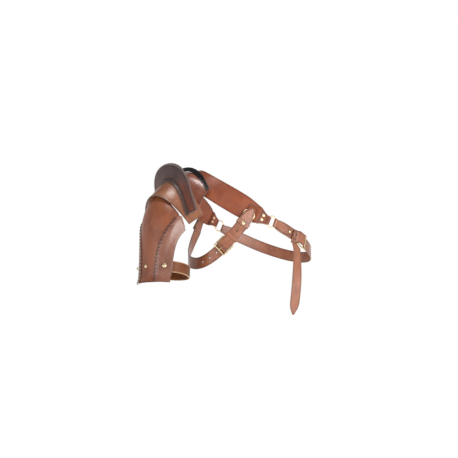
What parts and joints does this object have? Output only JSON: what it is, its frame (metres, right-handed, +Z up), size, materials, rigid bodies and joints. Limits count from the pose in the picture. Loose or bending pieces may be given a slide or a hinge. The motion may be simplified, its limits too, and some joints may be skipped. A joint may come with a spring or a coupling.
{
  "type": "leather shoulder armour with chest harness",
  "caption": "Leather armour for the right shoulder: arched lames with standing flanges, an upper-arm plate, a wide shoulder panel and a buckled chest harness with brass rings.",
  "frame": {"origin": "under the middle of the wide panel, where it sits on top of the wearer's right shoulder", "axes": "+Z up, -Y to the front of the wearer, -X to the wearer's right"},
  "size_m": [0.5559, 0.279, 0.4171],
  "materials": {
    "strap_leather": "semi-gloss, worn",
    "panel_leather": "semi-gloss, worn",
    "plate_leather": "semi-gloss, worn",
    "side_leather": "semi-gloss, worn",
    "arm_strap_leather": "semi-gloss, worn",
    "lower_lame_leather": "semi-gloss, worn",
    "upper_lame_leather": "semi-gloss, worn",
    "flange_leather": "semi-gloss, worn",
    "dark_leather": "semi-gloss, worn",
    "brass": "worn polished"
  },
  "bodies": {
    "root": {"right_chape": "strap_leather", "right_keeper": "strap_leather", "rivet_keeper": "strap_leather", "right_billet": "strap_leather", "left_chape": "strap_leather", "left_billet": "strap_leather", "hanger": "strap_leather", "shoulder_panel": "panel_leather", "side_tab_front": "panel_leather", "side_tab_rear": "panel_leather", "arm_plate_centre": "plate_leather", "arm_plate_front": "side_leather", "arm_plate_rear": "side_leather", "arm_strap": "arm_strap_leather", "lame_lower": "lower_lame_leather", "lame_upper": "upper_lame_leather", "flange_tall": "flange_leather", "flange_low": "dark_leather", "panel_rivet_front_low": "brass", "panel_rivet_front_high": "brass", "panel_rivet_rear_low": "brass", "panel_rivet_rear_high": "brass", "ring_front": "brass", "ring_rear": "brass", "ring_side_front": "brass", "ring_side_rear": "brass", "right_buckle_frame": "brass", "right_buckle_prong": "brass", "keeper_rivet": "brass", "left_buckle_frame": "brass", "left_buckle_prong": "brass", "tongue_rivet": "brass", "arm_rivet_middle": "brass", "arm_rivet_front": "brass", "arm_rivet_rear": "brass"}
  },
  "joints": []
}
